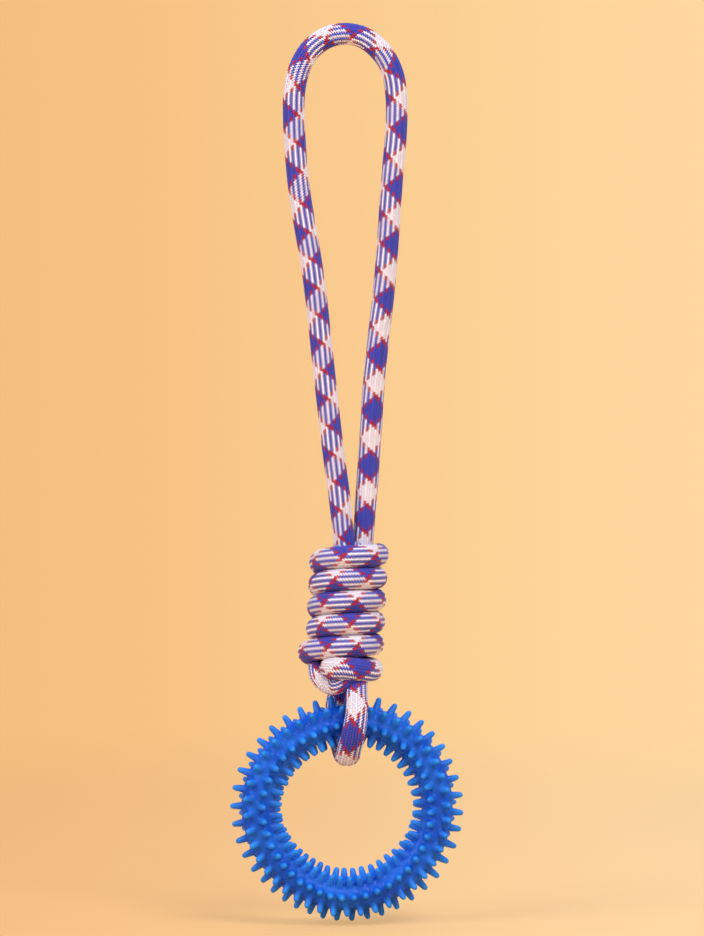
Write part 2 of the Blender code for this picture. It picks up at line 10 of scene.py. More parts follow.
import bpy
import numpy as np
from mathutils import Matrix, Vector


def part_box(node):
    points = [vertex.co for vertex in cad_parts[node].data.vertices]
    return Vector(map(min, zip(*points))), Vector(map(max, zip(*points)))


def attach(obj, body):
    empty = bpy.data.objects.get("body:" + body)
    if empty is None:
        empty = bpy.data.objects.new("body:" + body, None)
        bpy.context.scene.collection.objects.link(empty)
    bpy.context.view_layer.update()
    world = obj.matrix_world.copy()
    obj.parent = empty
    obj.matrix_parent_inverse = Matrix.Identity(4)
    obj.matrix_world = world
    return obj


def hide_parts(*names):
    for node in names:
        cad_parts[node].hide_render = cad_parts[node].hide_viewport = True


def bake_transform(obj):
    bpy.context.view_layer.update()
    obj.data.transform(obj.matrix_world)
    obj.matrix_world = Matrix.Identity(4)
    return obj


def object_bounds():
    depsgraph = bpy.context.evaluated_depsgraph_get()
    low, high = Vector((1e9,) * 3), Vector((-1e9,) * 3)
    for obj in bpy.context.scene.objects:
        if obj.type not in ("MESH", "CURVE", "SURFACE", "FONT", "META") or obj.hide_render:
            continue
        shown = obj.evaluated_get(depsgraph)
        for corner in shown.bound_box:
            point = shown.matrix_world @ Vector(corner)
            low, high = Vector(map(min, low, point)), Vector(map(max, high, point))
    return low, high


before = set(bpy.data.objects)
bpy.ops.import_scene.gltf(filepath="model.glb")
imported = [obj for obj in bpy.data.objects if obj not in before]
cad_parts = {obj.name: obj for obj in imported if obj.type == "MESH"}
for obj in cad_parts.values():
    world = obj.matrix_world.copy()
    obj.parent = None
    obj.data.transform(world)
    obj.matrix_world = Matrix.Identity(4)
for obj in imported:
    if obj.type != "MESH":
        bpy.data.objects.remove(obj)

bl_info = {
    "name": "Braided teething toy",
    "version": (1, 0, 0),
    "blender": (4, 5, 0),
    "location": "3D View > Sidebar > Toy",
    "description": "Builds the braided cord, the knot and the spiked ring round a packed frame",
    "category": "Object",
}

CAD_LOW, CAD_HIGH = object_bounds()

# Braid: columns of stitches round the cord, strands in the pattern and stitches in one repeat
BRAID_COLUMNS = 24
BRAID_STRANDS = 12
HALF_STITCHES = 24
WHITE_STRANDS = 5
COLUMN_DEGREES = 360.0 / BRAID_COLUMNS
STRIPE_COLUMN = 6.5
YARNS_PER_STITCH = 2
TOOTH_SHARE = 0.80
SIDES_PER_COLUMN = 4
RINGS_PER_REPEAT = 48
WHITE_MIDDLE_REPEATS = 2.0 + 4.0 / HALF_STITCHES

# A stitch's relief: how steeply it falls off across and along, its share that doesn't, and a
# nudge that keeps a column's first corner in its own column
COLUMN_POWER = 3
STITCH_POWER = 5
STITCH_LEVEL_SHARE = 0.45
COLUMN_NUDGE = 1e-6

# A stitch's painted shade and light: the powers of its edges and yarns, how far its ends, its pillow
# and its yarns count, how dark its grooves and how light its top are painted, and how much rougher
# and smoother they are
EDGE_POWER = 3.0
END_DIP_SHARE = 0.75
YARN_POWER = 0.8
PILLOW_SHARE = 0.15
GROOVE_POWER = 0.6
PAINTED_GROOVE_SHADE = 0.02
WHITE_GROOVE_PAINTED_LIGHTER = 0.30
PAINTED_TOP_LIGHT = 1.14
SPECKLE_SHADE = 0.92
SPECKLE_SPREAD = 0.14
GROOVE_ROUGHER = 0.12
STITCH_SMOOTHER = 0.15

# Rubber and melted cord: their noises' scales, the depth of their relief in metres, how far the
# spikes' ends (painted glow) and the cloudy patches (painted sheen) are lighter, and the soot in the
# melted ends
CLOUD_SCALE = 90.0
GRAIN_SCALE = 2500.0
GRAIN_DEPTH = 0.0001
PAINTED_TIP_GLOW = 0.8
PAINTED_SHEEN_PATCH = 0.35
SWIRL_SCALE = 420.0
SWIRL_DEPTH = 0.0003
SOOT = (0.10, 0.08, 0.08, 1.0)
SOOT_SHARE = 0.35

# Rounded end of a cord: the angles of its rings, and how far its pole stands out of the last one
CAP_DEGREES = np.array([80.0, 64.0, 46.0, 26.0, 10.0])
POLE_SHARE = 0.1

# Hand loop, measured along the middle of the cord
HAND_LOOP_TOP = 0.0050
HAND_LOOP_DROP = 0.2288
HALF_LOOP_WIDTH = 0.02335
HAND_LOOP_OFFSET = -0.0004
THROAT_DEPTH = 0.0039
THROAT_TAPER = 0.020
THROAT_SHARE = 0.94
HAND_LOOP_FOOT = 0.0050
FOOT_STEPS = 8

# Middle of the hand loop: across as a share of its half width, down as a share of its drop, and
# depth as a share of the throat's depth. It runs up the left leg, over the top and down the right.
HAND_LOOP_ROUTE_SHARES = np.array([
    (-0.029, 1.0, -0.192), (-0.109, 0.922, -0.21), (-0.216, 0.842, -0.19),
    (-0.401, 0.679, -0.13), (-0.615, 0.485, -0.07), (-0.916, 0.29, -0.02),
    (-1.0, 0.155, 0.0), (-0.994, 0.118, 0.0), (-0.872, 0.065, 0.0),
    (-0.625, 0.026, 0.0), (-0.298, 0.005, 0.0), (0.01, 0.0, 0.0),
    (0.317, 0.006, 0.0), (0.685, 0.034, 0.0), (0.916, 0.076, 0.0),
    (0.998, 0.128, 0.0), (1.0, 0.17, 0.0), (0.912, 0.29, 0.06),
    (0.776, 0.485, 0.2), (0.572, 0.679, 0.42), (0.465, 0.842, 0.69),
    (0.408, 0.922, 0.8), (0.352, 1.0, 0.808),
])

# How far the cord is twisted in the hand, in degrees, at shares of the hand loop's length
HAND_LOOP_TWIST = np.array([
    (0.0, -15.0), (0.149, 0.0), (0.272, 10.0), (0.415, 17.0), (0.5, 18.0), (0.555, 24.0),
    (0.625, 26.0), (0.677, 32.0), (0.744, 37.0), (0.772, 44.0), (0.815, 57.0), (0.902, 80.0),
    (1.0, 80.0),
])

# Repeats of the pattern counted at shares of the hand loop's length
HAND_LOOP_PATTERN = np.array([
    (0.0, 0.6667), (0.3139, 6.6667), (0.3455, 7.1667), (0.4255, 8.6667), (0.4556, 9.1667),
    (0.5603, 11.1667), (0.6711, 13.1667), (0.9067, 17.6667), (0.9823, 19.1667), (1.0, 19.5167),
])

# Coil of the knot
WRAP_TURNS = 5.25
WRAP_HALF_WIDTH = 0.01325
WRAP_HALF_DEPTH = 0.0120
WRAP_PITCH = 0.0101
WRAP_TOP_Z = -0.2323
WRAP_LEAN = 0.0005
KNOT_OFFSET = 0.0014
WRAP_FRONT_LIFT = 0.0013
WRAP_LEFT_LIFT = 0.0008
WRAP_END_RUN = 0.0094
TAIL_BEND = 0.0050
LAST_PASS_REACH = 0.0058
TAIL_RADIUS = 0.0041
TAIL_END_SHARE = 0.82
START_STEPS = 24
BEND_STEPS = 32
FIRST_FRONT_SHARE = 0.25
LAST_TURN_DROP = 0.0014
DROP_FROM_SHARE = 4.25
DROP_OVER_SHARE = 0.75
LEVEL_FROM_SHARE = 5.1
LAST_PASS_BULGE = 0.0010
BULGE_FROM_SHARE = 4.9
BULGE_OVER_SHARE = 0.35
LAST_PASS_STOUT = 0.04
LOBE_BULGE = 0.0032
LOBE_AT_SHARE = 4.5
LOBE_SPREAD_SHARE = 0.12
WRAP_CORD_HALF_DEEP = 0.0047
WRAP_CORD_HALF_TALL = 0.00505

# Places of the pattern along the coil: turns from its start, and repeats of the pattern
WRAP_PATTERN = np.array([
    (0.279, 0.6667), (1.1625, 3.6667), (2.353, 7.6667), (3.228, 10.6667), (4.325, 14.6667),
    (5.175, 17.6667),
])
WRAP_END_REPEAT = 0.0218
WRAP_TWIST = np.array([(0.0, 0.0), (4.5, 0.0), (5.08, -62.0), (5.25, -42.0)])

# Tuck, strands and ring loop
TUCK_RADIUS = 0.0037
TUCK_GAP = 0.0004
TUCK_FRONT = 0.0075
TUCK_BACK = 0.0030
TUCK_TOP_Z_SHARES = np.array([0.40, 0.20, -0.05])
TUCK_BEND_STEPS = np.array([(200.0, 0.74, 0.90), (220.0, 0.92, 0.93), (240.0, 1.04, 0.97),
                            (260.0, 1.12, 1.02), (276.0, 1.22, 1.04), (290.0, 1.32, 1.03)])
TUCK_FOOT_SHARES = np.array([(0.72, 1.40, -0.74), (1.06, 1.40, -0.46)])
TUCK_REPEAT = 0.0280
TUCK_WHITE_AT = 0.0172
TUCK_TWIST = np.array([(0.0, -97.0), (0.0155, -97.0), (0.0220, -42.0)])
TUCK_WIDTHS = np.array([(0.0, 0.80), (0.006, 0.95), (0.010, 1.0), (0.016, 1.0)])
TUCK_DEPTHS = np.array([(0.0, 0.6), (0.008, 1.0)])
STRAND_RADIUS = 0.0037
STRAND_SPREAD = 0.0040
STRAND_STAGGER = 0.0012
STRAND_TOP_Z = -0.2288
STRAND_RINGS = 60
LOOP_HALF_WIDE = 0.0053
LOOP_HALF_THICK = 0.0042
LOOP_ROOT_HALF_SPAN = 0.0112
LOOP_ROOT_SIDESTEP = 0.0042
LOOP_SIDESTEP = 0.0042
LOOP_BEND = 0.0171
LOOP_ROOT_Z = -0.293824
LOOP_ARC_STEPS = 12
LOOP_SIDE_SHARES = np.array([1.02, 0.88, 0.69, 0.48, 0.26, 0.12, 0.02, -0.07, -0.19, -0.38, -0.62,
                             -0.86, -1.05, -1.17, -1.21])
LOOP_TWIST_DEGREES = -72.0
LOOP_REPEAT = 0.0265
LOOP_WHITE_AT = 0.0073
LOOP_TOP_SIDESTEP = 0.0044
LOOP_TOP_HALF_SPAN = 0.0078
LOOP_TOP_Z = -0.2895
LOOP_WIDTHS = np.array([(0.0, 0.88), (0.14, 0.93), (0.28, 1.0), (0.44, 1.06), (0.56, 1.06),
                        (0.72, 1.0), (0.86, 0.93), (1.0, 0.88)])

# Teething ring
RING_OFFSET = 0.0006
RING_CENTRE_Z = -0.346493
RING_RADIUS = 0.0400
RING_TUBE_RADIUS = 0.0070
RING_YAW = math.radians(7.0)
SPIKE_ROWS = 7
SPIKES_PER_ROW = 43

# The soft ring isn't quite round: its radius is the sum of a steady share and of waves, each with
# its count round the ring, its cosine share and its sine share
RING_STEADY_SHARE = 1.0022
RING_WAVE_SHARES = np.array([(1.0, -0.0044, 0.0069), (2.0, -0.0219, 0.0015),
                             (3.0, -0.0037, 0.0074), (4.0, 0.0059, 0.0031)])

# Rows of spikes: their angles round the tube from the front outwards, and how far they are rolled:
# a steady part, and parts that go with cos(a), sin(a) and cos(2a) of the angle a round the ring
ROW_DEGREES = np.array([3.0, 48.5, 98.0, 157.0, 209.0, 260.0, 313.5, 363.0])
ROLL_DEGREES = -12.9
ROLL_TOP_DEGREES = -5.75
ROLL_RIGHT_DEGREES = -7.0
ROLL_WARP_DEGREES = 7.1

# The spikes aren't quite even round the ring: places in degrees and how far they have moved
SPIKE_DRIFT = np.array([
    (0.0, 0.0), (60.0, -1.2), (92.0, 0.7), (128.0, 2.1), (162.0, 2.6), (185.0, 0.9),
    (208.0, -1.7), (240.0, -5.4), (265.0, -5.8), (292.0, -3.3), (318.0, -1.6), (360.0, 0.0),
])

# Where each row's spikes stand, as shares of the step from spike to spike, and the corners of one
# spike's cell on the grid, with the spike's radius and height as shares at each step outwards
ROW_SHIFT = np.array([0.0, 0.5, 0.0, 0.5, 0.0, 0.625, 0.25])
SPIKE_GRID = 8
SPIKE_RADIUS_SHARES = np.array([0.00, 0.50, 0.72, 1.00, 1.30])
SPIKE_HEIGHT_SHARES = np.array([1.00, 0.93, 0.76, 0.04, 0.00])
SPIKE_SEED = 11
SPIKE_LENGTH_SPREAD = 0.03
SPIKE_LEAN_SPREAD = 0.035

# Studio: each lamp's name, place, width, power and colour, and what they light
LAMPS = (
    ("key_softbox", (0.9, -1.5, 1.5), 1.1, 35.0, (1.0, 1.0, 1.06)),
    ("fill_softbox", (-1.6, -1.3, 0.9), 1.2, 25.0, (1.0, 1.0, 1.06)),
    ("back_softbox", (0.4, 1.7, 0.9), 1.2, 5.0, (1.0, 1.0, 1.0)),
)
LAMP_TARGET = (0.0, 0.0, -0.20)
AMBIENT_LIGHT = (0.41, 0.41, 0.50, 1.0)
FLOOR_RADIUS = 6.0
FLOOR_SIDES = 64
# How wide the paper's painted light grades from a shaded left to a lit right, on floor and backdrop
FLOOR_BLEND = 0.22
BACKDROP_BLEND = 0.11
FADE_FROM = 0.50
FADE_TO = 1.40
CAMERA_X = 0.0027
CAMERA_Z = -0.1923
SENSOR_WIDTH = 36.0

CURVE_SAMPLES = 96
FRONT = np.array((0.0, -1.0, 0.0))
RIGHT = np.array((1.0, 0.0, 0.0))


def colour_setting(**values):
    """A colour setting for the panel."""
    return bpy.props.FloatVectorProperty(subtype="COLOR", size=4, **values)


def length_setting(**values):
    """A length setting for the panel."""
    return bpy.props.FloatProperty(unit="LENGTH", **values)


class CordSettings(bpy.types.PropertyGroup):
    """Sizes and colours of the braided cord."""

    radius: length_setting(
        name="Cord radius", description="Half the thickness of the cord over its stitches",
        default=0.0050, min=0.002)
    repeat: length_setting(
        name="Pattern repeat", description="Length of cord in one repeat of the colours",
        default=0.025, min=0.005)
    relief: length_setting(
        name="Stitch depth", description="How deep the grooves between stitches are",
        default=0.00032, min=0.0)
    yarn_depth: length_setting(
        name="Yarn depth", description="How far single yarns stand out of a stitch",
        default=0.00022, min=0.0)
    white: colour_setting(name="White yarn", description="Colour of the white yarn",
                          default=(1.00, 0.92, 1.00, 1.0))
    blue: colour_setting(name="Blue yarn", description="Colour of the blue yarn",
                         default=(0.056, 0.066, 0.620, 1.0))
    red: colour_setting(name="Red yarn", description="Colour of the red yarn",
                        default=(0.600, 0.010, 0.042, 1.0))
    roughness: bpy.props.FloatProperty(
        name="Yarn roughness", description="How matt the yarn is", default=0.62, min=0.0, max=1.0)


class RingSettings(bpy.types.PropertyGroup):
    """Sizes and colours of the rubber ring."""

    spike_length: length_setting(
        name="Spike length", description="How far a spike stands out of the ring's tube",
        default=0.0053, min=0.001)
    spike_root: length_setting(
        name="Spike root radius", description="Radius of a spike where it leaves the tube",
        default=0.00178, min=0.0005)
    rubber: colour_setting(name="Rubber", description="Colour of the rubber",
                           default=(0.001, 0.080, 0.550, 1.0))
    # Painted light: the spike tips take this lighter colour as the glow and highlights of thin rubber
    painted_tip_glow_colour: colour_setting(name="Spike tips", description="Colour of the rubber at the spike tips",
                        default=(0.020, 0.270, 0.860, 1.0))


class StageSettings(bpy.types.PropertyGroup):
    """Floor, background and camera."""

    floor_gap: length_setting(
        name="Floor gap", description="How far the floor lies below the toy", default=0.0012,
        min=0.0)
    # Painted light: the paper is shaded on the left and lit on the right
    paper_painted_shade_left: colour_setting(
        name="Paper on the left", description="Colour of floor and background on the left",
        default=(0.913, 0.515, 0.209, 1.0))
    paper_painted_light_right: colour_setting(
        name="Paper on the right", description="Colour of floor and background on the right",
        default=(1.0, 0.687, 0.347, 1.0))
    glow_share: bpy.props.FloatProperty(
        name="Paper glow", description="Share of the floor's colour that takes no shadow",
        default=0.55, min=0.0, max=1.0)
    distance: length_setting(
        name="Camera distance", description="From the camera to the toy", default=1.70,
        min=0.3)
    view_height: length_setting(
        name="View height", description="Height of the picture's frame at the toy",
        default=0.4254, min=0.1)


def smoothstep(value):
    """Rise from 0 to 1 with level ends: 3v^2 - 2v^3, for whole arrays."""
    value = np.clip(value, 0.0, 1.0)
    return value * value * (3.0 - 2.0 * value)


def unit(vectors):
    """Each row at length one."""
    return vectors / np.linalg.norm(vectors, axis=-1, keepdims=True)


def travel_along(points):
    """Distance along a run of points, from its first point."""
    steps = np.linalg.norm(np.diff(points, axis=0), axis=1)
    return np.concatenate(([0.0], np.cumsum(steps)))


def smooth_route(points):
    """Fine points along a smooth curve through the given points.

    Between two points the curve is a cubic whose slope at each point follows its two
    neighbours, weighted by how far away they are.
    """
    chords = np.diff(points, axis=0)
    steps = np.linalg.norm(chords, axis=1)[:, None]
    chords = chords / steps
    weight = steps[:-1] / (steps[:-1] + steps[1:])
    inner = chords[:-1] * (1.0 - weight) + chords[1:] * weight
    slopes = np.concatenate((chords[:1], inner, chords[-1:]))
    part = (np.arange(CURVE_SAMPLES) / CURVE_SAMPLES)[None, :, None]
    rise = smoothstep(part)
    step = steps[:, None]
    fine = points[:-1, None] * (1.0 - rise) + points[1:, None] * rise
    fine = fine + slopes[:-1, None] * part * (1.0 - part) ** 2 * step
    fine = fine + slopes[1:, None] * part * part * (part - 1.0) * step
    return np.concatenate((fine.reshape(-1, 3), points[-1:]))


def at_places(places, known, points):
    """Points read at places along known, straight between the known ones."""
    return np.stack([np.interp(places, known, column) for column in points.T], axis=1)


def from_table(places, table):
    """The second column of a table read at places along its first, straight between rows."""
    return np.interp(places, table[:, 0], table[:, 1])


def stitch_height(around, along):
    """Height of the braid from 0 in a groove to 1 on a stitch.

    A stitch falls off with a power of the distance from the middle of its column, and with a
    higher power towards its two ends, which slant one way on even columns and the other way on
    odd ones.
    """
    cells = around * BRAID_COLUMNS
    column = np.floor(cells + COLUMN_NUDGE)
    across = cells - column - 0.5
    slant = 1.0 - 2.0 * np.mod(column, 2.0)
    place = (along * HALF_STITCHES + across * slant - column) / 2.0 + 0.5
    within = place - np.floor(place) - 0.5
    over = 1.0 - np.abs(2.0 * across) ** COLUMN_POWER
    ends = 1.0 - np.abs(2.0 * within) ** STITCH_POWER
    return over * (STITCH_LEVEL_SHARE + (1.0 - STITCH_LEVEL_SHARE) * ends)


def new_mesh_object(name, places, faces, material):
    """A smooth mesh object from places and faces, with its place in its mesh."""
    mesh = bpy.data.meshes.new(name)
    mesh.from_pydata(places.tolist(), [], faces)
    mesh.materials.append(material)
    mesh.shade_smooth()
    piece = bpy.data.objects.new(name, mesh)
    bpy.context.scene.collection.objects.link(piece)
    return piece


def braided_cord(name, points, side, along, twist, half_sizes, settings, sides=None):
    """A braided cord swept along fine points, closed by a rounded end at each end.

    At each point the section is an ellipse between the outward direction n and the side
    direction b, at the angle phi: centre + n * deep * cos(phi) + b * wide * sin(phi), less the
    depth of the groove there. The grid's lines follow the columns of stitches, so phi turns with
    the twist of the cord, and its rings lie at even places of the pattern.
    """
    sides = sides or BRAID_COLUMNS * SIDES_PER_COLUMN
    travel = travel_along(points)
    first = math.ceil(along[0] * RINGS_PER_REPEAT)
    last = math.floor(along[-1] * RINGS_PER_REPEAT)
    pattern = np.arange(first + 1, last) / RINGS_PER_REPEAT
    pattern = np.concatenate((along[:1], pattern, along[-1:]))
    ring_travel = np.interp(pattern, along, travel)
    centres = at_places(ring_travel, travel, points)
    heading = unit(at_places(ring_travel, travel, np.gradient(points, axis=0)))
    across = at_places(ring_travel, travel, side)
    across = unit(across - heading * np.sum(across * heading, axis=1)[:, None])
    outward = np.cross(heading, across)
    deep, wide, turned = [np.interp(ring_travel, travel, row) for row in (*half_sizes, twist)]

    count = len(pattern)
    cap = np.radians(CAP_DEGREES)
    index = np.clip(np.arange(-len(cap), count + len(cap)), 0, count - 1)
    draw = np.concatenate((np.cos(cap), np.ones(count), np.cos(cap[::-1])))
    reach = deep[index] * np.concatenate((-np.sin(cap), np.zeros(count), np.sin(cap[::-1])))
    pace = (pattern[-1] - pattern[0]) / (ring_travel[-1] - ring_travel[0])
    heading, outward, across = heading[index], outward[index], across[index]
    centres = centres[index] + heading * reach[:, None]
    pattern = pattern[index] + reach * pace
    deep, wide, turned = deep[index] * draw, wide[index] * draw, turned[index]

    around = np.arange(sides) / sides
    degrees = (around * BRAID_COLUMNS - STRIPE_COLUMN) * COLUMN_DEGREES
    phi = np.radians(degrees[None, :] - turned[:, None])
    height = stitch_height(around[None, :], pattern[:, None])
    less = settings.relief * (1.0 - height) * draw[:, None]
    places = (centres[:, None]
              + outward[:, None] * ((deep[:, None] - less) * np.cos(phi))[..., None]
              + across[:, None] * ((wide[:, None] - less) * np.sin(phi))[..., None])
    rings = len(centres)
    poles = np.stack((centres[0] - heading[0] * deep[0] * POLE_SHARE,
                      centres[-1] + heading[-1] * deep[-1] * POLE_SHARE))
    places = np.concatenate((places.reshape(-1, 3), poles))

    ring, step = np.meshgrid(np.arange(rings - 1), np.arange(sides), indexing="ij")
    ring, step = ring[..., None] + (0, 1, 1, 0), step[..., None] + (0, 0, 1, 1)
    faces = (ring * sides + step % sides).reshape(-1, 4).tolist()
    maps = [np.stack((step / sides, pattern[ring]), axis=-1).reshape(-1)]
    steps = np.arange(sides)[:, None]
    for pole, end, pair in ((0, 0, (0, 1)), (1, rings - 1, (1, 0))):
        rim = steps + pair
        fan = (np.full((sides, 1), rings * sides + pole), end * sides + rim % sides)
        faces += np.concatenate(fan, axis=1).tolist()
        turn = np.concatenate((steps + 0.5, rim), axis=1) / sides
        maps.append(np.stack((turn, np.full_like(turn, pattern[end])), axis=-1).reshape(-1))
    piece = new_mesh_object(name, places, faces, cord_material(settings))
    layer = piece.data.uv_layers.new(name="cord")
    layer.data.foreach_set("uv", np.concatenate(maps).astype(np.float32))
    return piece


class NodeMaker:
    """Places nodes in a tree and joins them, so that a formula reads as a row of calls."""

    def __init__(self, tree):
        self.tree = tree

    def put(self, kind, **values):
        """A node of a kind, with its own settings."""
        node = self.tree.nodes.new(kind)
        for name, value in values.items():
            setattr(node, name, value)
        return node

    def feed(self, socket, value):
        """Join a socket to another one, or give it a plain value."""
        if isinstance(value, bpy.types.NodeSocket):
            self.tree.links.new(value, socket)
        else:
            socket.default_value = value

    def fill(self, node, values):
        """Feed a node's sockets, by name or number, and give its first output."""
        for key, value in values.items():
            self.feed(node.inputs[key], value)
        return node.outputs[0]

    def math(self, operation, *values):
        """The result of a math node."""
        return self.fill(self.put("ShaderNodeMath", operation=operation), dict(enumerate(values)))

    def plus(self, first, second):
        """The sum of two values."""
        return self.math("ADD", first, second)

    def minus(self, first, second):
        """The first value less the second."""
        return self.math("SUBTRACT", first, second)

    def times(self, first, second):
        """The product of two values."""
        return self.math("MULTIPLY", first, second)

    def power_of_edge(self, value, power):
        """A place from -0.5 to 0.5 carried to 0 in the middle and 1 at both edges."""
        return self.math("POWER", self.math("ABSOLUTE", self.times(value, 2.0)), power)

    def mix(self, factor, first, second, blend="MIX"):
        """Two colours mixed by a factor."""
        node = self.put("ShaderNodeMix", data_type="RGBA", blend_type=blend)
        self.fill(node, {0: factor, 6: first, 7: second})
        return node.outputs[2]

    def rise(self, value, low, high, to_low=0.0, to_high=1.0):
        """A value carried from one range to another along a smooth step."""
        node = self.put("ShaderNodeMapRange", interpolation_type="SMOOTHSTEP")
        return self.fill(node, {0: value, 1: low, 2: high, 3: to_low, 4: to_high})

    def noise(self, place, scale, detail, distortion=0.0):
        """Cloudy noise from 0 to 1 at a place."""
        return self.fill(self.put("ShaderNodeTexNoise"), {
            "Vector": place, "Scale": scale, "Detail": detail, "Distortion": distortion})

    def bump(self, shader, height, strength, distance):
        """Relief in a shader's normal."""
        relief = {"Strength": strength, "Distance": distance, "Height": height}
        self.feed(shader.inputs["Normal"], self.fill(self.put("ShaderNodeBump"), relief))


def braid_group():
    """Colours and relief of the braid from a cord's own map.

    The map's first number goes once round the cord and its second counts repeats of the colours.
    Each column of stitches shows strands that run round the cord one way or the other. A
    strand's number is found from the stitch's place, counted modulo twelve: five white, one red,
    five blue and one red. The columns' edges are toothed, a tooth for every half stitch.
    """
    group = bpy.data.node_groups.new("braid", "ShaderNodeTree")
    for side, kind, labels in (("INPUT", "NodeSocketVector", ("Map",)),
                               ("INPUT", "NodeSocketColor", ("White", "Blue", "Red")),
                               ("OUTPUT", "NodeSocketColor", ("Color",)),
                               ("OUTPUT", "NodeSocketFloat", ("Height", "Roughness"))):
        for label in labels:
            group.interface.new_socket(name=label, in_out=side, socket_type=kind)
    make = NodeMaker(group)
    given = make.put("NodeGroupInput")
    put_out = make.put("NodeGroupOutput")
    split = make.put("ShaderNodeSeparateXYZ")
    make.feed(split.inputs[0], given.outputs["Map"])
    along = make.times(split.outputs[1], HALF_STITCHES)
    tooth = make.minus(make.math("FRACT", along), 0.5)
    plain_cells = make.times(split.outputs[0], BRAID_COLUMNS)
    cells = make.plus(plain_cells, make.times(tooth, TOOTH_SHARE))
    column = make.math("FLOOR", cells)
    across = make.minus(make.minus(cells, column), 0.5)
    odd = make.math("FLOORED_MODULO", column, 2.0)
    slant = make.minus(1.0, make.times(odd, 2.0))
    shifted = make.plus(along, make.times(across, slant))
    halves = make.times(make.minus(shifted, column), 0.5)
    lifted = make.plus(halves, 0.5)
    stitch = make.math("FLOOR", lifted)
    within = make.minus(make.minus(lifted, stitch), 0.5)
    other_way = make.times(column, make.minus(1.0, odd))
    strand = make.plus(stitch, other_way)
    in_pattern = make.math("FLOORED_MODULO", strand, BRAID_STRANDS)
    white = make.math("LESS_THAN", in_pattern, WHITE_STRANDS - 0.5)
    in_half = make.math("FLOORED_MODULO", strand, BRAID_STRANDS / 2.0)
    red = make.math("GREATER_THAN", in_half, WHITE_STRANDS - 0.5)
    colour = make.mix(white, given.outputs["Blue"], given.outputs["White"])
    colour = make.mix(red, colour, given.outputs["Red"])

    # The height below is both the stitch's bump and the mask of its painted shade and light
    ends = make.times(make.power_of_edge(within, EDGE_POWER), END_DIP_SHARE)
    pillow = make.times(make.minus(1.0, make.power_of_edge(across, EDGE_POWER)),
                        make.minus(1.0, ends))
    wave = make.math("SINE", make.times(lifted, math.pi * YARNS_PER_STITCH))
    yarns = make.math("POWER", make.math("ABSOLUTE", wave), YARN_POWER)
    height = make.plus(make.times(pillow, PILLOW_SHARE),
                       make.times(make.times(pillow, yarns), 1.0 - PILLOW_SHARE))

    place = make.fill(make.put("ShaderNodeCombineXYZ"), {0: column, 1: stitch})
    speckle = make.put("ShaderNodeTexWhiteNoise", noise_dimensions="2D")
    speckle = make.fill(speckle, {"Vector": place})
    lighter = make.plus(SPECKLE_SHADE, make.times(speckle, SPECKLE_SPREAD))
    # Painted shade in the grooves, less dark on white yarn, and painted light on the stitch tops
    floor = make.plus(PAINTED_GROOVE_SHADE, make.times(white, WHITE_GROOVE_PAINTED_LIGHTER))
    rest = make.times(make.math("POWER", height, GROOVE_POWER), make.minus(PAINTED_TOP_LIGHT, floor))
    groove = make.plus(floor, rest)
    shade = make.times(lighter, groove)
    speckle_and_painted_shade_grey = make.fill(make.put("ShaderNodeCombineColor"), {0: shade, 1: shade, 2: shade})
    colour = make.mix(1.0, colour, speckle_and_painted_shade_grey, "MULTIPLY")
    rougher = make.plus(make.times(groove, -STITCH_SMOOTHER), GROOVE_ROUGHER)
    for name, value in (("Color", colour), ("Height", height), ("Roughness", rougher)):
        make.feed(put_out.inputs[name], value)
    return group


def new_material(name):
    """A material, its node maker and its shader."""
    material = bpy.data.materials.new(name)
    material.use_nodes = True
    return material, NodeMaker(material.node_tree), material.node_tree.nodes["Principled BSDF"]


def cord_material(settings):
    """Braided cord: braid colours with painted shade, a soft sheen and single yarns as bump."""
    if "braided cord" in bpy.data.materials:
        return bpy.data.materials["braided cord"]
    material, make, shader = new_material("braided cord")
    cord_map = make.put("ShaderNodeUVMap", uv_map="cord")
    braid = make.put("ShaderNodeGroup", node_tree=braid_group())
    colour = make.fill(braid, {"Map": cord_map.outputs[0], "White": settings.white,
                               "Blue": settings.blue, "Red": settings.red})
    roughness = make.plus(braid.outputs["Roughness"], settings.roughness)
    make.fill(shader, {"Base Color": colour, "Roughness": roughness, "Sheen Weight": 0.15,
                       "Sheen Roughness": 0.5, "Specular IOR Level": 0.35})
    make.bump(shader, braid.outputs["Height"], 0.8, settings.yarn_depth)
    return material


def run_on(points, length, steps):
    """Points carried straight on past both ends by a length."""
    share = np.arange(1, steps + 1)[:, None] / steps
    before = points[0] + unit(points[0] - points[1]) * length * share[::-1]
    after = points[-1] + unit(points[-1] - points[-2]) * length * share
    return np.concatenate((before, points, after))


def wrap_point(turn):
    """Points of the coil's middle line, a turn at a time from its right side down.

    An elliptical helix, highest at the front and lowest at the back of each turn. It is wider at
    its left end near the bottom, and its last pass across the front lies level and proud.
    """
    angle = math.tau * turn
    drop = smoothstep((turn - DROP_FROM_SHARE) / DROP_OVER_SHARE)
    bulge = smoothstep((turn - BULGE_FROM_SHARE) / BULGE_OVER_SHARE)
    off_lobe = (turn - LOBE_AT_SHARE) / LOBE_SPREAD_SHARE
    half_width = WRAP_HALF_WIDTH + LOBE_BULGE * np.exp(-off_lobe * off_lobe)
    half_depth = WRAP_HALF_DEPTH + LAST_PASS_BULGE * bulge
    z = WRAP_TOP_Z - WRAP_PITCH * (np.minimum(turn, LEVEL_FROM_SHARE) - FIRST_FRONT_SHARE)
    z = z - LAST_TURN_DROP * drop - WRAP_LEFT_LIFT * np.cos(angle)
    z = z - WRAP_FRONT_LIFT * (1.0 - np.sin(angle))
    centre = KNOT_OFFSET - WRAP_LEAN * turn
    return np.stack((centre + half_width * np.cos(angle), -half_depth * np.sin(angle), z), axis=1)


def tail_end():
    """The middle of the coil's tail, where it runs back through the knot."""
    last = wrap_point(np.array([WRAP_TURNS]))[0]
    return last + np.array((-TAIL_BEND, TAIL_BEND + WRAP_END_RUN, 0.0))


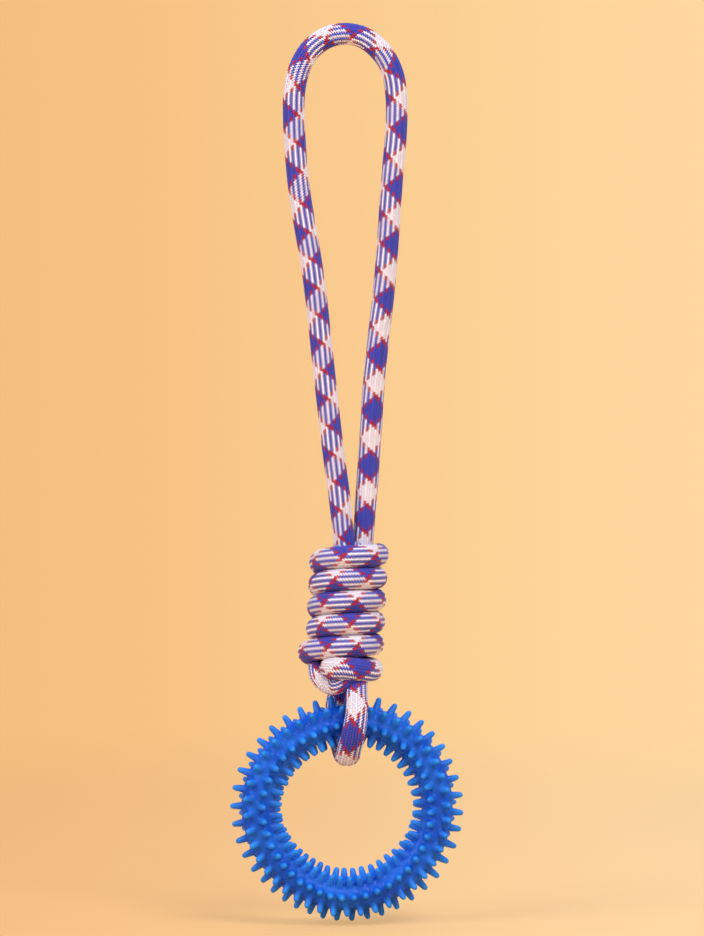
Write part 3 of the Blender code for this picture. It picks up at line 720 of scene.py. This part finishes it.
def tuck_route():
    """Fine points of the tuck: forward beside the coil's tail, then round under it."""
    tail = tail_end()
    bend = TAIL_RADIUS + TUCK_RADIUS + TUCK_GAP
    back = np.array([TUCK_BACK, TUCK_BACK - TUCK_RADIUS / 2.0, -TUCK_FRONT / 2.0])
    reach = bend * TUCK_BEND_STEPS[:, 2]
    run = np.stack((np.full(3, tail[0] - reach[0]), back, tail[2] + bend * TUCK_TOP_Z_SHARES),
                   axis=1)
    angle = np.radians(TUCK_BEND_STEPS[:, 0])
    arc = np.stack((tail[0] + reach * np.cos(angle), -TUCK_FRONT * TUCK_BEND_STEPS[:, 1],
                    tail[2] + reach * np.sin(angle)), axis=1)
    foot = TUCK_FOOT_SHARES * np.array((bend, -TUCK_FRONT, bend))
    foot = foot + np.array((tail[0], 0.0, tail[2]))
    return smooth_route(np.concatenate((run, arc, foot)))


def ring_loop_route():
    """Fine points of the ring loop: down in front, under the ring's tube and up behind it.

    Both legs start a little way up inside the knot.
    """
    tube_z = RING_CENTRE_Z + RING_RADIUS
    angle = math.pi * np.arange(-1, LOOP_ARC_STEPS + 2) / LOOP_ARC_STEPS
    arc = np.stack((RING_OFFSET + LOOP_SIDESTEP * LOOP_SIDE_SHARES, -LOOP_BEND * np.cos(angle),
                    tube_z - LOOP_BEND * np.sin(angle)), axis=1)
    top = np.array((LOOP_TOP_SIDESTEP, -LOOP_TOP_HALF_SPAN, LOOP_TOP_Z))
    root = np.array((LOOP_ROOT_SIDESTEP, -LOOP_ROOT_HALF_SPAN, LOOP_ROOT_Z))
    middle = np.array((RING_OFFSET, 0.0, 0.0))
    mirror = np.array((-1.0, -1.0, 1.0))
    ends = np.array((top, root, root * mirror, top * mirror)) + middle
    return smooth_route(np.concatenate((ends[:2], arc, ends[2:])))


def tube_frame(around, about):
    """The tube's middle and the directions out of it, round the ring and round the tube.

    The tube's angle is 0 at the front and grows towards the ring's outer side. The soft ring is
    a little warped: its rows are rolled round the tube, its spikes have drifted along it, and its
    radius is R * (steady + sum of c * cos(k * around) + s * sin(k * around)).
    """
    roll = (ROLL_DEGREES + ROLL_TOP_DEGREES * np.cos(around)
            + ROLL_RIGHT_DEGREES * np.sin(around) + ROLL_WARP_DEGREES * np.cos(2.0 * around))
    about = about + np.radians(roll)
    drift = np.interp(np.degrees(around), SPIKE_DRIFT[:, 0], SPIKE_DRIFT[:, 1], period=360.0)
    around = around + np.radians(drift)
    radial = np.stack((np.sin(around), np.zeros_like(around), np.cos(around)), axis=-1)
    ahead = np.stack((np.cos(around), np.zeros_like(around), -np.sin(around)), axis=-1)
    outward = radial * np.sin(about)[..., None] + FRONT * np.cos(about)[..., None]
    upward = radial * np.cos(about)[..., None] - FRONT * np.sin(about)[..., None]
    share = np.full_like(around, RING_STEADY_SHARE)
    for count, cosine, sine in RING_WAVE_SHARES:
        share = share + cosine * np.cos(count * around) + sine * np.sin(count * around)
    return radial * (RING_RADIUS * share)[..., None], outward, ahead, upward


def spike_cells():
    """The ring's grid, with the spike that each corner belongs to.

    The grid runs round the ring and round its tube, and each spike has a square of it. The last
    two numbers are a corner's place in its square, from -1 to 1 each way.
    """
    half = SPIKE_GRID // 2
    column, row = np.meshgrid(np.arange(SPIKES_PER_ROW * SPIKE_GRID),
                              np.arange(SPIKE_ROWS * SPIKE_GRID), indexing="ij")
    spike_row = row // SPIKE_GRID
    shift = np.round(ROW_SHIFT[spike_row] * SPIKE_GRID).astype(int)
    moved = column - shift + half
    place_ahead = (moved % SPIKE_GRID - half) / half
    place_about = (row % SPIKE_GRID - half) / half
    return column, row, spike_row, moved // SPIKE_GRID, shift, place_ahead, place_about


def build_ring_mesh(settings, material):
    """The rubber ring with its spikes on one closed grid.

    Squares round a cell's middle become circles. With the radius r and height h that belong to a
    circle, and its angle a, a corner lies at
    middle of the tube + out * (tube's surface + h) + ahead * r * cos(a) + about * r * sin(a).
    The outermost square keeps its place on the plain tube.
    """
    half = SPIKE_GRID // 2
    column, row, spike_row, spike_column, shift, s, t = spike_cells()
    columns, rows = column.shape
    turn = math.tau / columns
    row_number = np.arange(SPIKE_ROWS + 1)
    about = np.interp((row - half) / SPIKE_GRID % SPIKE_ROWS, row_number, ROW_DEGREES)
    middle, outward = tube_frame(column * turn, np.radians(about))[:2]
    plain = middle + outward * RING_TUBE_RADIUS
    middle, outward, ahead, upward = tube_frame(
        (spike_column * SPIKE_GRID + shift) * turn, np.radians(ROW_DEGREES[spike_row]))

    level = np.maximum(np.abs(s), np.abs(t))
    circle_s = s * np.sqrt(1.0 - t * t / 2.0)
    circle_t = t * np.sqrt(1.0 - s * s / 2.0)
    size = np.hypot(circle_s, circle_t)
    size = np.where(size > 0.0, size, 1.0)
    generator = np.random.default_rng(SPIKE_SEED)
    spikes = (SPIKES_PER_ROW, SPIKE_ROWS)
    longer = 1.0 + generator.normal(0.0, SPIKE_LENGTH_SPREAD, spikes)
    lean_ahead = generator.normal(0.0, SPIKE_LEAN_SPREAD, spikes)
    lean_about = generator.normal(0.0, SPIKE_LEAN_SPREAD, spikes)
    pick = (spike_column % SPIKES_PER_ROW, spike_row)
    steps = np.arange(half + 1) / half
    radius = np.interp(level, steps, SPIKE_RADIUS_SHARES) * settings.spike_root
    height = np.interp(level, steps, SPIKE_HEIGHT_SHARES) * settings.spike_length * longer[pick]
    step_about = radius * circle_t / size
    fall = np.where(level >= 1.0 - 1.0 / half, step_about, 0.0)
    base = np.sqrt(RING_TUBE_RADIUS ** 2 - fall ** 2)
    step_ahead = radius * circle_s / size + height * lean_ahead[pick]
    step_about = step_about + height * lean_about[pick]
    spiked = (middle + outward * (base + height)[..., None]
              + ahead * step_ahead[..., None] + upward * step_about[..., None])
    places = np.where((level < 1.0)[..., None], spiked, plain)

    cos_yaw, sin_yaw = math.cos(RING_YAW), math.sin(RING_YAW)
    x = places[..., 0] * cos_yaw - places[..., 1] * sin_yaw + RING_OFFSET
    y = places[..., 0] * sin_yaw + places[..., 1] * cos_yaw
    places = np.stack((x, y, places[..., 2] + RING_CENTRE_Z), axis=-1).reshape(-1, 3)
    corner_column = (column[..., None] + (0, 0, 1, 1)) % columns
    corner_row = (row[..., None] + (0, 1, 1, 0)) % rows
    faces = corner_column * rows + corner_row
    piece = new_mesh_object("spiked_ring", places, faces.reshape(-1, 4).tolist(), material)
    # Each corner's share of its spike's height: the mask of the painted glow at the spike tips
    share = np.interp(level, steps, SPIKE_HEIGHT_SHARES).reshape(-1)
    layer = piece.data.attributes.new("tip_share", "FLOAT", "POINT")
    layer.data.foreach_set("value", share.astype(np.float32))
    return piece


def rubber_material(settings):
    """Moulded rubber: deep blue, painted glow on the tips, faint cloudy painted sheen, fine grain."""
    material, make, shader = new_material("blue rubber")
    place = make.put("ShaderNodeTexCoord")
    share = make.put("ShaderNodeAttribute", attribute_name="tip_share")
    cloud = make.noise(place.outputs["Object"], CLOUD_SCALE, 3.0)
    # Painted sheen in faint cloudy patches, and painted glow towards the spike tips
    painted_sheen_patches = make.rise(cloud, 0.35, 0.75, 0.0, PAINTED_SHEEN_PATCH)
    painted_glow_and_sheen = make.plus(make.times(share.outputs["Fac"], PAINTED_TIP_GLOW), painted_sheen_patches)
    colour = make.mix(make.math("MINIMUM", painted_glow_and_sheen, 1.0), settings.rubber, settings.painted_tip_glow_colour)
    make.fill(shader, {"Base Color": colour, "Specular IOR Level": 0.25,
                       "Roughness": make.rise(cloud, 0.3, 0.7, 0.34, 0.50)})
    grain = make.noise(place.outputs["Object"], GRAIN_SCALE, 2.0)
    make.bump(shader, grain, 0.25, GRAIN_DEPTH)
    return material


def melted_material(settings):
    """Melted cord end: the yarn colours run together, hard and a little glossy."""
    material, make, shader = new_material("melted cord end")
    place = make.put("ShaderNodeTexCoord")
    swirl = make.noise(place.outputs["Object"], SWIRL_SCALE, 4.0, 1.5)
    first = make.mix(make.rise(swirl, 0.40, 0.48), settings.blue, settings.red)
    colour = make.mix(make.rise(swirl, 0.54, 0.62), first, settings.white)
    colour = make.mix(SOOT_SHARE, colour, SOOT)
    make.fill(shader, {"Base Color": colour, "Roughness": make.rise(swirl, 0.3, 0.7, 0.3, 0.5)})
    make.bump(shader, swirl, 0.6, SWIRL_DEPTH)
    return material


def paper_material(settings):
    """Floor paper: near the toy it keeps the shadow, and far away it gives way to the backdrop."""
    material, make, shader = new_material("floor paper")
    place = make.put("ShaderNodeTexCoord").outputs["Object"]
    x = make.fill(make.put("ShaderNodeSeparateXYZ"), {0: place})
    # Painted light: the floor's colour grades from shaded on the left to lit on the right
    colour = make.mix(make.rise(x, -FLOOR_BLEND, FLOOR_BLEND), settings.paper_painted_shade_left,
                      settings.paper_painted_light_right)
    paper = make.fill(shader, {"Base Color": colour, "Roughness": 0.9, "Specular IOR Level": 0.1})
    glow = make.fill(make.put("ShaderNodeEmission"), {"Color": colour})
    rays = make.put("ShaderNodeLightPath").outputs["Is Camera Ray"]
    near = make.fill(make.put("ShaderNodeMixShader"),
                     {0: make.times(rays, settings.glow_share), 1: paper, 2: glow})
    away = make.put("ShaderNodeVectorMath", operation="LENGTH")
    make.feed(away.inputs[0], place)
    far = make.rise(away.outputs["Value"], FADE_FROM, FADE_TO)
    clear = make.put("ShaderNodeBsdfTransparent").outputs[0]
    mixed = make.fill(make.put("ShaderNodeMixShader"),
                      {0: make.times(far, rays), 1: near, 2: clear})
    make.feed(material.node_tree.nodes["Material Output"].inputs["Surface"], mixed)
    return material


def add_softbox(name, place, size, power, colour):
    """A square soft lamp at a place, facing the toy."""
    lamp = bpy.data.lights.new(name, "AREA")
    lamp.shape = "SQUARE"
    lamp.size = size
    lamp.energy = power
    lamp.color = colour
    holder = bpy.data.objects.new(name, lamp)
    bpy.context.scene.collection.objects.link(holder)
    holder.location = place
    way = Vector(LAMP_TARGET) - Vector(place)
    holder.rotation_euler = way.to_track_quat("-Z", "Y").to_euler()


class TOY_OT_stage(bpy.types.Operator):
    """Floor, background, soft lamps and the camera at the photograph's angle."""

    bl_idname = "toy.stage"
    bl_label = "Stage"

    def execute(self, context):
        settings = context.scene.toy_stage
        floor_z = float(CAD_LOW[2]) - settings.floor_gap
        turn = math.tau * np.arange(FLOOR_SIDES) / FLOOR_SIDES
        places = np.stack((FLOOR_RADIUS * np.cos(turn), FLOOR_RADIUS * np.sin(turn),
                           np.full_like(turn, floor_z)), axis=1)
        floor = new_mesh_object("floor_paper", places, [list(range(FLOOR_SIDES))],
                                paper_material(settings))

        world = bpy.data.worlds.new("studio")
        context.scene.world = world
        world.use_nodes = True
        make = NodeMaker(world.node_tree)
        rays = make.put("ShaderNodeLightPath").outputs
        direction = make.put("ShaderNodeTexCoord").outputs["Generated"]
        x = make.fill(make.put("ShaderNodeSeparateXYZ"), {0: direction})
        # Painted light: the backdrop grades from shaded on the left to lit on the right
        seen = make.mix(make.rise(x, -BACKDROP_BLEND, BACKDROP_BLEND),
                        settings.paper_painted_shade_left, settings.paper_painted_light_right)
        shown = make.math("MAXIMUM", rays["Is Camera Ray"], rays["Is Transmission Ray"])
        colour = make.mix(shown, AMBIENT_LIGHT, seen)
        make.fill(world.node_tree.nodes["Background"], {"Color": colour, "Strength": 1.0})

        for lamp in LAMPS:
            add_softbox(*lamp)

        camera = bpy.data.cameras.new("photo_camera")
        camera.sensor_width = SENSOR_WIDTH
        camera.lens = settings.distance * camera.sensor_width / settings.view_height
        holder = bpy.data.objects.new("photo_camera", camera)
        context.scene.collection.objects.link(holder)
        holder.location = (CAMERA_X, -settings.distance, CAMERA_Z)
        holder.rotation_euler = (math.radians(90.0), 0.0, 0.0)
        context.scene.camera = holder
        context.scene.view_settings.view_transform = "Standard"
        return {"FINISHED"}


class TOY_OT_hand_loop(bpy.types.Operator):
    """The long loop of braided cord for the hand."""

    bl_idname = "toy.hand_loop"
    bl_label = "Hand loop"

    def execute(self, context):
        settings = context.scene.toy_cord
        across, down, depth = HAND_LOOP_ROUTE_SHARES.T
        route = smooth_route(np.stack((HAND_LOOP_OFFSET + across * HALF_LOOP_WIDTH,
                                       depth * THROAT_DEPTH,
                                       HAND_LOOP_TOP - down * HAND_LOOP_DROP), axis=1))
        length = travel_along(route)[-1]
        points = run_on(route, HAND_LOOP_FOOT, FOOT_STEPS)
        travel = travel_along(points) - HAND_LOOP_FOOT
        share = travel / length
        along = from_table(share, HAND_LOOP_PATTERN)
        along = along + np.minimum(travel, 0.0) / settings.repeat
        along = along + np.maximum(travel - length, 0.0) / settings.repeat
        twist = from_table(share, HAND_LOOP_TWIST)
        to_end = np.minimum(travel, length - travel)
        radius = settings.radius * (THROAT_SHARE
                                    + (1.0 - THROAT_SHARE) * smoothstep(to_end / THROAT_TAPER))
        side = np.cross(FRONT, unit(np.gradient(points, axis=0)))
        piece = braided_cord("hand_loop_cord", points, side, along, twist, (radius, radius), settings)
        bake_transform(piece)
        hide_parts("hand_loop_cover", "hand_loop_core")
        return {"FINISHED"}


class TOY_OT_knot(bpy.types.Operator):
    """The coil, the tuck and the two strands of cord inside the knot."""

    bl_idname = "toy.knot"
    bl_label = "Knot"

    def execute(self, context):
        settings = context.scene.toy_cord
        self.add_coil(settings)
        self.add_tuck(settings)
        self.add_strands(settings)
        return {"FINISHED"}

    def add_coil(self, settings):
        """The coil as one unbroken cord, from its hidden start to its tail inside the knot."""
        turns = np.linspace(0.0, WRAP_TURNS, round(WRAP_TURNS * CURVE_SAMPLES * 2) + 1)
        helix = wrap_point(turns)
        run = np.linspace(1.0, 0.0, START_STEPS, endpoint=False)[:, None]
        start = helix[0] + unit(helix[0] - helix[1]) * WRAP_END_RUN * run
        bend = np.radians(np.linspace(0.0, 90.0, BEND_STEPS + 1)[1:])
        shift = np.stack((-np.sin(bend), 1.0 - np.cos(bend), np.zeros(BEND_STEPS)), axis=1)
        quarter = helix[-1] + shift * np.array((LAST_PASS_REACH, TAIL_BEND, 0.0))
        back = np.linspace(0.0, 1.0, START_STEPS + 1)[1:, None]
        tail = quarter[-1] + np.array((0.0, WRAP_END_RUN, 0.0)) * back
        points = np.concatenate((start, helix, quarter, tail))
        travel = travel_along(points)
        first, last = len(start), len(start) + len(helix)
        anchors = np.interp(WRAP_PATTERN[:, 0], turns, travel[first:last])
        low = WRAP_PATTERN[0, 1] - anchors[0] / settings.repeat
        high = WRAP_PATTERN[-1, 1] + (travel[-1] - anchors[-1]) / WRAP_END_REPEAT
        along = np.interp(travel, np.concatenate(([0.0], anchors, [travel[-1]])),
                          np.concatenate(([low], WRAP_PATTERN[:, 1], [high])))
        turn_at = np.pad(turns, (first, len(points) - last), mode="edge")
        twist = from_table(turn_at, WRAP_TWIST)
        centre_x = KNOT_OFFSET - WRAP_LEAN * turn_at
        away = np.stack((points[:, 0] - centre_x, points[:, 1], np.zeros(len(points))), axis=1)
        away[last:] = np.array((-0.3, -1.0, 0.0))
        away[last + len(quarter) // 2:] = np.array((-1.0, 0.0, 0.0))
        side = np.cross(unit(away), unit(np.gradient(points, axis=0)))
        stout = 1.0 + LAST_PASS_STOUT * smoothstep((turn_at - BULGE_FROM_SHARE) / BULGE_OVER_SHARE)
        stout[-len(tail):] = np.linspace(stout[-1], TAIL_END_SHARE, len(tail))
        piece = braided_cord("coil_cord", points, side, along, twist,
                             (WRAP_CORD_HALF_DEEP * stout, WRAP_CORD_HALF_TALL * stout), settings)
        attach(piece, "knot")
        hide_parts("knot_wraps")

    def add_tuck(self, settings):
        """The short bend of cord round the coil's tail."""
        points = tuck_route()
        travel = travel_along(points)
        tail = tail_end()
        along = (travel - TUCK_WHITE_AT) / TUCK_REPEAT + WHITE_MIDDLE_REPEATS
        twist = from_table(travel, TUCK_TWIST)
        inward = np.stack((tail[0] - points[:, 0], np.zeros(len(points)), tail[2] - points[:, 2]),
                          axis=1)
        wide = TUCK_RADIUS * from_table(travel, TUCK_WIDTHS)
        deep = TUCK_RADIUS * from_table(travel, TUCK_DEPTHS)
        piece = braided_cord("tuck_cord", points, unit(inward), along, twist, (deep, wide), settings)
        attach(piece, "knot")
        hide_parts("knot_tuck")

    def add_strands(self, settings):
        """The two legs of the cord that run down inside the coil."""
        for name, sign in (("left_strand", -1.0), ("right_strand", 1.0)):
            low = float(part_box(name + "_cover")[0][2])
            z = np.linspace(STRAND_TOP_Z, low, STRAND_RINGS)
            centre = KNOT_OFFSET - WRAP_LEAN * (WRAP_TOP_Z - z) / WRAP_PITCH
            points = np.stack((centre + sign * STRAND_SPREAD,
                               np.full_like(z, sign * STRAND_STAGGER), z), axis=1)
            along = travel_along(points) / settings.repeat
            radius = np.full_like(z, STRAND_RADIUS)
            side = np.tile(RIGHT, (STRAND_RINGS, 1))
            piece = braided_cord(name, points, side, along, np.zeros_like(z), (radius, radius),
                                 settings, BRAID_COLUMNS * 2)
            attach(piece, "knot")
            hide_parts(name + "_cover", name + "_core")


class TOY_OT_ring_loop(bpy.types.Operator):
    """The small loop of cord that the ring hangs in."""

    bl_idname = "toy.ring_loop"
    bl_label = "Ring loop"

    def execute(self, context):
        settings = context.scene.toy_cord
        points = ring_loop_route()
        travel = travel_along(points)
        from_root = travel - travel[CURVE_SAMPLES]
        along = (from_root - LOOP_WHITE_AT) / LOOP_REPEAT + WHITE_MIDDLE_REPEATS
        twist = np.full(len(points), LOOP_TWIST_DEGREES)
        side = np.tile(RIGHT, (len(points), 1))
        thick = np.full(len(points), LOOP_HALF_THICK)
        wide = LOOP_HALF_WIDE * from_table(travel / travel[-1], LOOP_WIDTHS)
        piece = braided_cord("ring_loop_cord", points, side, along, twist, (thick, wide), settings)
        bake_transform(piece)
        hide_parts("ring_loop_cover", "ring_loop_core")
        return {"FINISHED"}


class TOY_OT_ring(bpy.types.Operator):
    """The rubber teething ring with its rows of spikes."""

    bl_idname = "toy.ring"
    bl_label = "Spiked ring"

    def execute(self, context):
        settings = context.scene.toy_ring
        piece = build_ring_mesh(settings, rubber_material(settings))
        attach(piece, "ring")
        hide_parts("teething_ring")
        return {"FINISHED"}


class TOY_OT_melted_ends(bpy.types.Operator):
    """The finish of the two melted cord ends, which keep their own solids."""

    bl_idname = "toy.melted_ends"
    bl_label = "Melted ends"

    def execute(self, context):
        material = melted_material(context.scene.toy_cord)
        for name in ("sealed_end_upper", "sealed_end_lower"):
            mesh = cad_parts[name].data
            mesh.materials.clear()
            mesh.materials.append(material)
        return {"FINISHED"}


class TOY_PT_panel(bpy.types.Panel):
    """The pieces of the toy, in the order in which they are built."""

    bl_idname = "TOY_PT_panel"
    bl_label = "Teething toy"
    bl_space_type = "VIEW_3D"
    bl_region_type = "UI"
    bl_category = "Toy"

    def draw(self, context):
        column = self.layout.column()
        for operator in OPERATORS:
            column.operator(operator.bl_idname)
        for settings in (context.scene.toy_cord, context.scene.toy_ring, context.scene.toy_stage):
            box = self.layout.box()
            for name in settings.__annotations__:
                box.prop(settings, name)


SETTINGS = (CordSettings, RingSettings, StageSettings)
OPERATORS = (TOY_OT_stage, TOY_OT_hand_loop, TOY_OT_knot, TOY_OT_ring_loop, TOY_OT_ring,
             TOY_OT_melted_ends)


def register():
    """Make the settings, the operators and the panel known to Blender."""
    for item in SETTINGS + OPERATORS + (TOY_PT_panel,):
        bpy.utils.register_class(item)
    bpy.types.Scene.toy_cord = bpy.props.PointerProperty(type=CordSettings)
    bpy.types.Scene.toy_ring = bpy.props.PointerProperty(type=RingSettings)
    bpy.types.Scene.toy_stage = bpy.props.PointerProperty(type=StageSettings)


def unregister():
    """Take the settings, the operators and the panel away again."""
    del bpy.types.Scene.toy_stage
    del bpy.types.Scene.toy_ring
    del bpy.types.Scene.toy_cord
    for item in reversed(SETTINGS + OPERATORS + (TOY_PT_panel,)):
        bpy.utils.unregister_class(item)


def main():
    """Build every piece in order."""
    register()
    bpy.ops.toy.stage()
    bpy.ops.toy.hand_loop()
    bpy.ops.toy.knot()
    bpy.ops.toy.ring_loop()
    bpy.ops.toy.ring()
    bpy.ops.toy.melted_ends()


if __name__ == "__main__":
    main()
